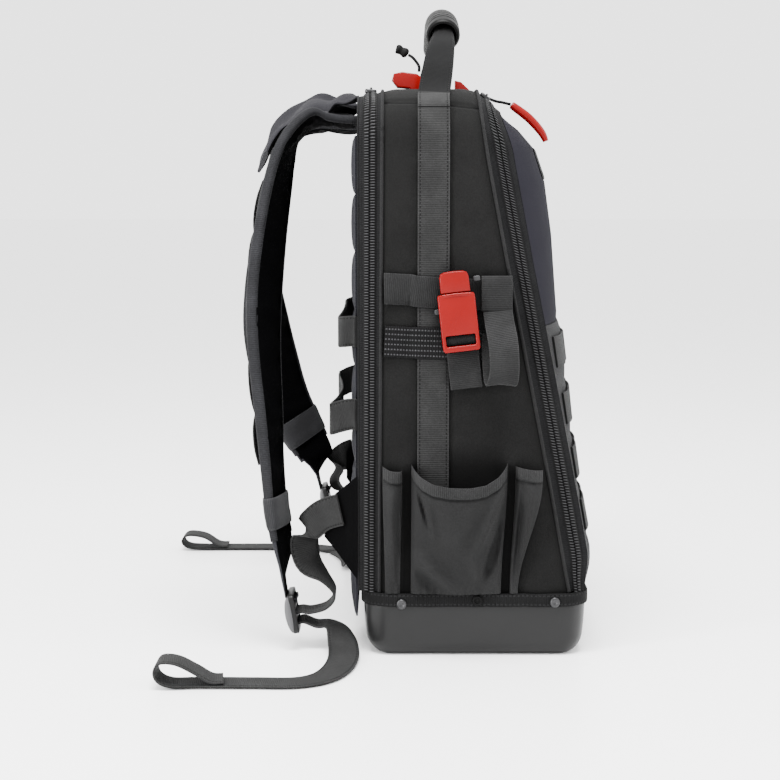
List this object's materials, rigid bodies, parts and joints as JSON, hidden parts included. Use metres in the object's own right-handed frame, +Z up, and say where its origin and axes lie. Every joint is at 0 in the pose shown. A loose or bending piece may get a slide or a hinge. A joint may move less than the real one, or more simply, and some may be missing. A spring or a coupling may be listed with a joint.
{
  "type": "tool backpack",
  "caption": "Soft tool backpack with a moulded base tray, zipped front, side pockets, padded shoulder straps, webbing and a tube handle.",
  "frame": {"origin": "centre of the base tray's flat underside, on the floor", "axes": "+Z up; +X towards the bag's front, -X the wearer's side; -Y the side with the buckle"},
  "size_m": [0.3869, 0.5065, 0.5296],
  "materials": {
    "cloth": "coarse woven",
    "web": "woven webbing",
    "tray": "fine moulded grain",
    "rubber": "matte",
    "shell": "smooth bonded cloth",
    "mesh": "air mesh",
    "red": "gloss",
    "metal": "dark nickel",
    "lock": "moulded"
  },
  "bodies": {
    "root": {"base_tray": "tray", "base_binding": "web", "rivet_1": "metal", "rivet_2": "metal", "rivet_3": "metal", "front_foot": "rubber", "side_gusset": "cloth", "rear_zip": "web", "front_zip": "web", "front_shell_upper": "shell", "front_panel_lower": "cloth", "front_band_1": "web", "front_band_2": "web", "front_band_3": "web", "front_band_4": "web", "front_patch": "rubber", "rear_plate": "cloth", "back_pad": "mesh", "lumbar_pad": "mesh", "back_band_upper": "web", "back_band_lower": "web", "carry_strap": "web", "handle_grip": "rubber", "buckle_body": "red", "buckle_tongue": "red", "buckle_tail": "web", "tool_loop": "web", "front_pull_cord": "rubber", "front_pull": "red", "top_lock_left": "red", "top_lock_right": "red", "top_cord": "rubber", "top_toggle": "rubber", "pocket_rear_near": "cloth", "pocket_middle_near": "cloth", "pocket_front_near": "cloth", "side_web_upper_near": "web", "side_web_lower_near": "web", "shoulder_pad_near": "cloth", "pad_web_near": "web", "yoke_near": "cloth", "keeper_near": "web", "ladder_lock_near": "lock", "wing_near": "cloth", "adjust_web_near": "web", "pocket_rear_far": "cloth", "pocket_middle_far": "cloth", "pocket_front_far": "cloth", "side_web_upper_far": "web", "side_web_lower_far": "web", "shoulder_pad_far": "cloth", "pad_web_far": "web", "yoke_far": "cloth", "keeper_far": "web", "ladder_lock_far": "lock", "wing_far": "cloth", "adjust_web_far": "web"}
  },
  "joints": []
}
